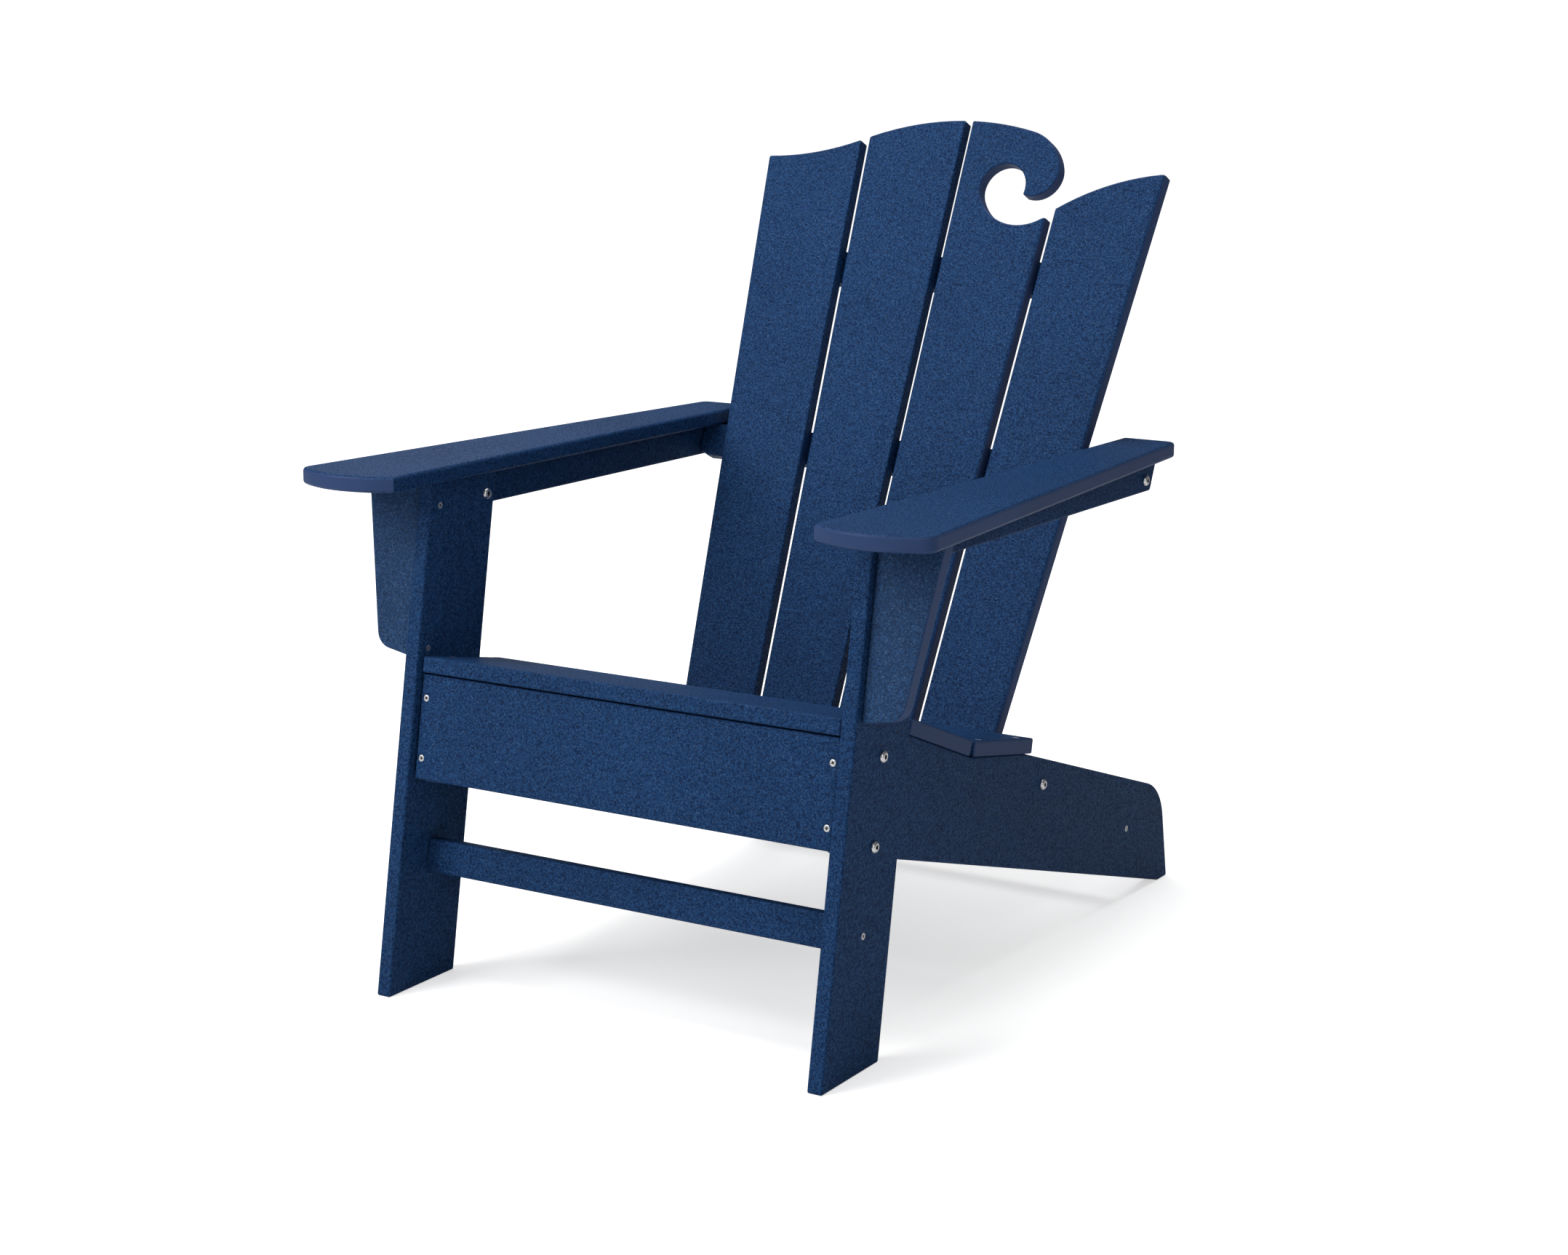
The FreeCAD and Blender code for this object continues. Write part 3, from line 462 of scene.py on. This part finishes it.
def ring_surface(rings):
    """Points and faces of a closed surface: pole, rings of (radius at each angle, height, how much
    painted shade darkens it), pole.  A point of a ring is (radius cos angle, radius sin angle,
    height)."""
    radius = np.array([np.broadcast_to(ring[0], TURNS) for ring in rings[1:-1]])
    height = np.array([ring[1] for ring in rings[1:-1]])[:, None] * np.ones(TURNS)
    grid = np.stack([radius * np.cos(ANGLE), radius * np.sin(ANGLE), height], axis=-1)
    poles = np.array([(0, 0, rings[0][1]), (0, 0, rings[-1][1])])
    points = np.concatenate([grid.reshape(-1, 3), poles])
    rows = len(rings) - 2
    index = np.arange(rows * TURNS).reshape(rows, TURNS)
    here, there = index[:-1], index[1:]
    quads = np.stack([here, there, np.roll(there, -1, 1), np.roll(here, -1, 1)], -1)
    first, last = rows * TURNS, rows * TURNS + 1
    top = np.stack([np.full(TURNS, first), index[0], np.roll(index[0], -1)], -1)
    bottom = np.stack([index[-1], np.full(TURNS, last), np.roll(index[-1], -1)], -1)
    mark = np.array([ring[2] for ring in rings[1:-1]])
    marks = np.concatenate([np.repeat(mark, TURNS), [rings[0][2], rings[-1][2]]])
    faces = quads.reshape(-1, 4).tolist() + top.tolist() + bottom.tolist()
    return points, faces, marks


def bolt_rings(length):
    """Rings of a button-head bolt, seat at height 0: socket, dome (a quarter sine), shank."""
    head, tall, shank, across, deep = 0.0070, BOLT_HEAD_TALL, 0.0040, 0.0050, 0.0026
    hexagon = hexagon_outline(across)
    lip = across * 0.66
    # the third number of each ring is how much painted shade darkens it: full at the floor of the
    # socket, less up its wall, a little under the head
    rings = [(0, tall - deep - 0.0005, 1.0), (hexagon * 0.55, tall - deep - 0.0002, 1.0),
             (hexagon * 0.97, tall - deep, 1.0), (hexagon, tall - deep * 0.5, 0.8),
             (hexagon, tall - 0.0003, 0.4), (hexagon * 1.05, tall - 0.0001, 0.1), (lip, tall, 0)]
    for turn in np.linspace(0.12, 1.0, 9) * np.pi / 2:
        rings.append((lip + (head - lip) * np.sin(turn),
                      0.0008 + (tall - 0.0008) * np.cos(turn), 0))
    rings += [(head, 0.0004, 0), (head - 0.0003, 0, 0.2), (shank, 0, 0.2),
              (shank, -length + 0.001, 0), (shank - 0.001, -length, 0), (0, -length, 0)]
    return rings


def screw_rings(length):
    """Rings of a countersunk cross-head screw, flush at height 0: cross, cone, shank, point."""
    head, shank, tall, deep = 0.0039, 0.0021, 0.0026, 0.0016
    cross = cross_outline(0.0044, 0.0012)
    # the third number of each ring is how much painted shade darkens it, from full at the bottom
    # of the cross to none on the head
    return [(0, -deep - 0.0004, 1.0), (cross * 0.45, -deep, 1.0), (cross * 0.85, -deep * 0.5, 0.9),
            (cross, -0.0001, 0.5), (cross * 0.4 + 0.0016, 0, 0.1), (head - 0.0004, 0, 0),
            (head - 0.0001, -0.0001, 0), (head, -0.0004, 0), (shank, -tall, 0),
            (shank, -length + 0.004, 0), (shank * 0.5, -length + 0.002, 0), (0, -length, 0)]


points, faces, marks = ring_surface(bolt_rings(0.06))
print("a bolt has", len(faces), "faces")

# %% [markdown]
# ## Where each fastener sits
# The frame gives a group of fasteners as one node.  Its triangles are loose, so points at the
# same place are joined first; then labels spread from triangle to triangle until each separate
# fastener has one label of its own.  The head is at the outer end, and the axis runs through the
# middle of what is seen along it.

# %% Find the fasteners in a node
def separate(node):
    """The points of each separate solid in a node, by spreading the lowest label over faces."""
    mesh = NODES[node].data
    spots = np.zeros(len(mesh.vertices) * 3)
    mesh.vertices.foreach_get("co", spots)
    spots = spots.reshape(-1, 3)
    mesh.calc_loop_triangles()
    corners = np.zeros(len(mesh.loop_triangles) * 3, dtype=int)
    mesh.loop_triangles.foreach_get("vertices", corners)
    unique, same = np.unique(np.round(spots, 6), axis=0, return_inverse=True)
    triangles = same.reshape(-1)[corners].reshape(-1, 3)
    label = np.arange(len(unique))
    while True:
        lowest = label[triangles].min(axis=1)
        spread = label.copy()
        for corner in range(3):
            np.minimum.at(spread, triangles[:, corner], lowest)
        if (spread == label).all():
            return [unique[label == one] for one in np.unique(label)]
        label = spread


def seats(node, outward):
    """(seat, axes, length) of each fastener; outward is its direction on the +X side."""
    found = []
    for solid in separate(node):
        axis = np.array(outward, dtype=float)
        axis[0] *= np.sign(solid[:, 0].mean())
        side = np.cross(axis, (0.0, 0.0, 1.0))
        side /= np.linalg.norm(side)
        up = np.cross(axis, side)
        axes = np.array([side, up, axis])
        seen = solid @ axes.T
        low, high = seen.min(axis=0), seen.max(axis=0)
        middle = (low + high) / 2
        middle[2] = high[2]
        found.append((middle @ axes, axes, high[2] - low[2]))
    return found


print(len(separate("seat_screws")), "seat screws found")

# %% [markdown]
# ## Steel
# Stainless steel shows its finish in the roughness: fine lines from turning, and a duller floor
# in the recess, which is also darkened with painted shade.  The surfaces above carry a mark that
# is
# 1 at the bottom of a recess, less up its wall and under a bolt's head, and 0 elsewhere; the
# material reads it as an attribute and paints that much shade.

# %% Steel material
STEEL = (0.66, 0.66, 0.67, 1.0)
# the colour that painted shade gives the floor of a recess
RECESS_SHADE = (0.055, 0.055, 0.060, 1.0)
BRUSHING = 1400.0       # lines per metre
BRUSHED_ROUGH = (-0.07, 0.09)   # what the brushing takes from and adds to the roughness
BRUSH_DEPTH = 0.00003
RECESS_DULLER = 0.25


def steel(name, rough):
    """Satin stainless steel with painted shade in its recesses."""
    material = bpy.data.materials.new(name)
    material.use_nodes = True
    add = nodes_of(material)
    deep = add("ShaderNodeAttribute", attribute_name="deep").outputs["Fac"]
    spot = add("ShaderNodeTexCoord").outputs["Object"]
    brushed = add("ShaderNodeTexNoise", inputs={
        "Vector": spot, "Scale": BRUSHING, "Detail": 3.0}).outputs["Fac"]
    # painted shade: the steel darkens towards the recess colour as the deep mark rises
    colour = mix_colour(add, deep, STEEL, RECESS_SHADE)
    dull = remap(add, brushed, 0.3, 0.7, *[rough + change for change in BRUSHED_ROUGH])
    dull = sum_of(add, "MULTIPLY_ADD", deep, RECESS_DULLER, dull)
    bump = add("ShaderNodeBump", inputs={
        "Height": brushed, "Strength": 0.25, "Distance": BRUSH_DEPTH}).outputs[0]
    shader = add("ShaderNodeBsdfPrincipled", inputs={
        "Base Color": colour, "Metallic": 1.0, "Roughness": dull, "Normal": bump})
    add("ShaderNodeOutputMaterial", inputs={"Surface": shader.outputs[0]})
    return material


BOLT_STEEL = steel("bolt_steel", 0.26)
SCREW_STEEL = steel("screw_steel", 0.34)
print("two steels ready")

# %% Turn the bolts and screws
LEG_SLOPE = math.radians(LEG_LEAN)
BACK_SLOPE = math.radians(BACK_LEAN)
BEHIND_BACK = (0.0, math.cos(BACK_SLOPE), -math.sin(BACK_SLOPE))
SPIN_STEP = 0.7         # each fastener stops turning at another angle, in radians
SHARP = math.radians(40)
FASTENERS = {
    # node: (kind, direction its heads look on the sitter's left)
    "leg_bolts": ("bolt", (1, 0, 0)),
    "back_bar_bolts": ("bolt", (1, 0, 0)),
    "arm_rail_front_bolts": ("bolt", (-1, 0, 0)),
    "arm_rail_rear_bolts": ("bolt", (1, 0, 0)),
    "apron_screws": ("screw", (0, -math.cos(LEG_SLOPE), math.sin(LEG_SLOPE))),
    "stretcher_screws": ("screw", (1, 0, 0)),
    "rear_stretcher_screws": ("screw", (1, 0, 0)),
    "bracket_screws": ("screw", (-1, 0, 0)),
    "slat_screws": ("screw", BEHIND_BACK),
    "cleat_screws": ("screw", BEHIND_BACK),
}


def turned_group(node, kind, outward):
    """One mesh of all the fasteners in a node, each wrapped from rings and set on its seat."""
    all_points, all_faces, all_marks = [], [], []
    start = 0
    for count, (seat, axes, length) in enumerate(seats(node, outward)):
        head = BOLT_HEAD_TALL if kind == "bolt" else 0.0
        rings = bolt_rings(length - head) if kind == "bolt" else screw_rings(length)
        points, faces, marks = ring_surface(rings)
        turn = SPIN_STEP * count
        spin = np.array([(math.cos(turn), -math.sin(turn), 0),
                         (math.sin(turn), math.cos(turn), 0), (0, 0, 1)])
        handed = axes if np.linalg.det(axes) > 0 else axes * np.array([[1], [-1], [1]])
        points = points @ spin.T - np.array([0, 0, head])
        all_points.append(points @ handed + seat)
        all_faces += [[corner + start for corner in face] for face in faces]
        all_marks.append(marks)
        start += len(points)
    mesh = bpy.data.meshes.new(node + "_turned")
    mesh.from_pydata(np.concatenate(all_points).tolist(), [], all_faces)
    mesh.polygons.foreach_set("use_smooth", np.ones(len(mesh.polygons), dtype=bool))
    # the deep attribute carries how much painted shade darkens each point
    mesh.attributes.new("deep", "FLOAT", "POINT").data.foreach_set(
        "value", np.concatenate(all_marks).astype(np.float32))
    mesh.set_sharp_from_angle(angle=SHARP)
    mesh.update()
    piece = bpy.data.objects.new(node + "_turned", mesh)
    bpy.context.scene.collection.objects.link(piece)
    return piece


for node, (kind, outward) in FASTENERS.items():
    piece = turned_group(node, kind, outward)
    piece.data.materials.append(BOLT_STEEL if kind == "bolt" else SCREW_STEEL)
    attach(piece, "root")
    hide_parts(node)
    print(piece.name, len(piece.data.polygons), "faces")

# %% Steel on the fasteners that stay as they are
for node in ("leg_washers", "leg_nuts", "seat_screws", "arm_screws"):
    NODES[node].data.materials.clear()
    NODES[node].data.materials.append(SCREW_STEEL if "screws" in node else BOLT_STEEL)
print("washers, nuts and the seat and arm screws are steel")
